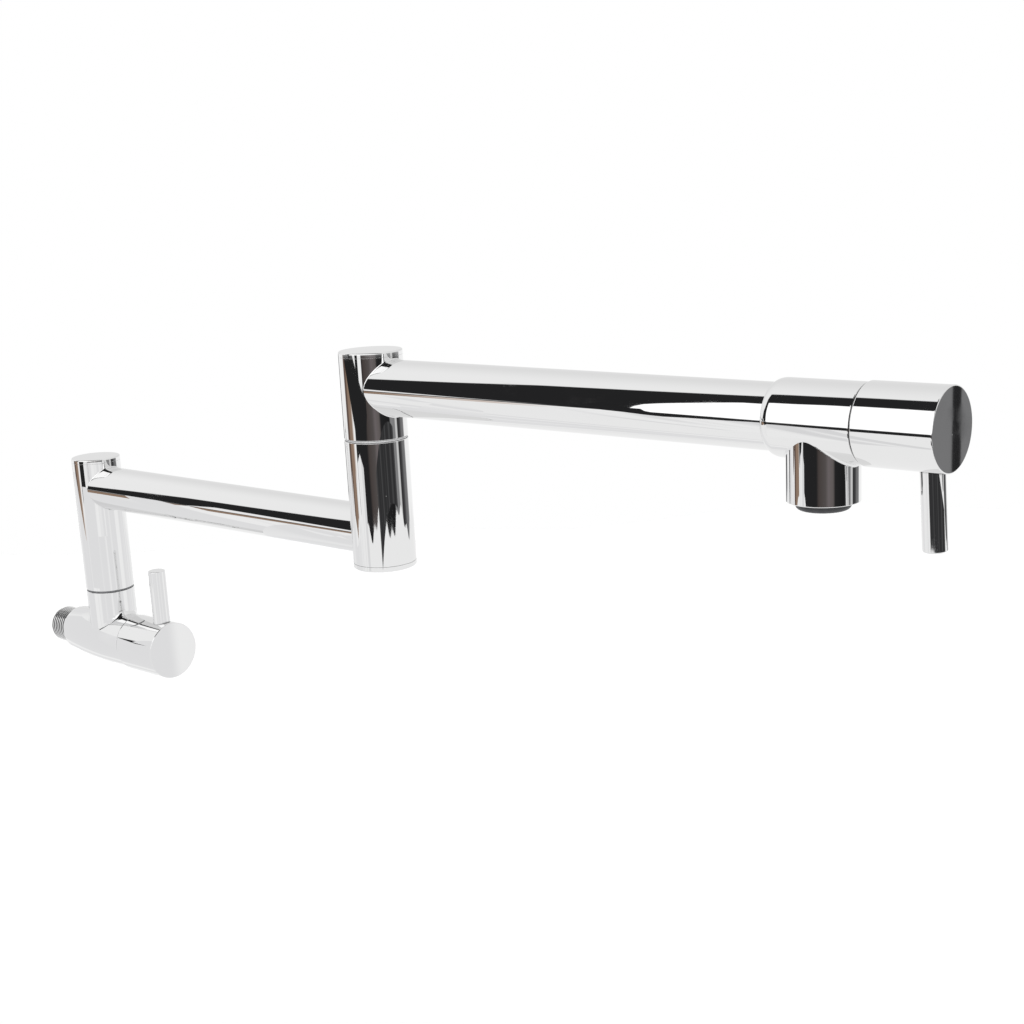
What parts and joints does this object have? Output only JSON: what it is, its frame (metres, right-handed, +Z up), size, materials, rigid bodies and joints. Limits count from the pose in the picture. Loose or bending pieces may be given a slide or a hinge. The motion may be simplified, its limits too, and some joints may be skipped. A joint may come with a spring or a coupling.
{
  "type": "wall mounted pot filler",
  "caption": "Wall tap on a jointed swing arm that folds along the wall, with a rod-lever valve at the wall and another beside its downward outlet, for filling pots on a hob.",
  "frame": {"origin": "on the inlet's axis at the inlet body's rear shoulder, where the wall fitting ends", "axes": "+Z up; +Y along the inlet axis into the wall; the arms point along -Y at rest"},
  "size_m": [0.0322, 0.5874, 0.1963],
  "materials": {
    "chrome": "polished chrome plate on brass",
    "brass": "turned brass",
    "steel": "bare stainless steel",
    "ceramic": "ground alumina ceramic",
    "rubber": "moulded rubber",
    "ptfe": "low friction plastic",
    "dark_plastic": "moulded dark grey plastic"
  },
  "bodies": {
    "wall_side": {"inlet_body": "chrome", "inlet_tail": "chrome", "inlet_cartridge_bonnet": "brass", "inlet_seat_seal": "rubber", "inlet_fixed_disc": "ceramic", "inlet_bonnet_o_ring": "rubber", "wall_swivel_post": "brass", "wall_post_near_o_ring": "rubber", "wall_post_far_o_ring": "rubber", "wall_post_retaining_ring": "steel", "wall_glide_ring": "ptfe"},
    "inlet_handle": {"inlet_moving_disc": "ceramic", "inlet_spindle": "brass", "inlet_spindle_o_ring": "rubber", "inlet_spindle_clip": "steel", "inlet_handle_cap": "chrome", "inlet_lever": "chrome", "inlet_grub_screw": "steel"},
    "inner_arm": {"wall_column": "chrome", "wall_column_top_plug": "chrome", "inner_arm_tube": "chrome", "elbow_lower_column": "chrome", "elbow_bottom_plug": "chrome", "elbow_glide_ring": "ptfe"},
    "outer_arm": {"elbow_swivel_post": "brass", "elbow_post_near_o_ring": "rubber", "elbow_post_far_o_ring": "rubber", "elbow_post_retaining_ring": "steel", "elbow_upper_column": "chrome", "elbow_top_plug": "chrome", "outer_arm_tube": "chrome", "spout_body": "chrome", "aerator_housing": "dark_plastic", "aerator_screen": "dark_plastic", "aerator_gasket": "rubber", "outlet_cartridge_bonnet": "brass", "outlet_seat_seal": "rubber", "outlet_fixed_disc": "ceramic", "outlet_bonnet_o_ring": "rubber"},
    "outlet_handle": {"outlet_moving_disc": "ceramic", "outlet_spindle": "brass", "outlet_spindle_o_ring": "rubber", "outlet_spindle_clip": "steel", "outlet_handle_cap": "chrome", "outlet_lever": "chrome", "outlet_grub_screw": "steel"}
  },
  "joints": [
    {"name": "wall_swivel", "type": "hinge", "parent": "wall_side", "child": "inner_arm", "pos_m": [0, -0.0365, 0.03], "axis": [0, 0, 1], "range_deg": [-90, 90]},
    {"name": "elbow_swivel", "type": "hinge", "parent": "inner_arm", "child": "outer_arm", "pos_m": [0, -0.274, 0.138], "axis": [0, 0, 1], "range_deg": [-180, 180]},
    {"name": "inlet_valve_turn", "type": "hinge", "parent": "wall_side", "child": "inlet_handle", "pos_m": [0, -0.0593, 0], "axis": [0, -1, 0], "range_deg": [0, 90]},
    {"name": "outlet_valve_turn", "type": "hinge", "parent": "outer_arm", "child": "outlet_handle", "pos_m": [0, -0.5384, 0.1626], "axis": [0, -1, 0], "range_deg": [-5, 85]}
  ]
}
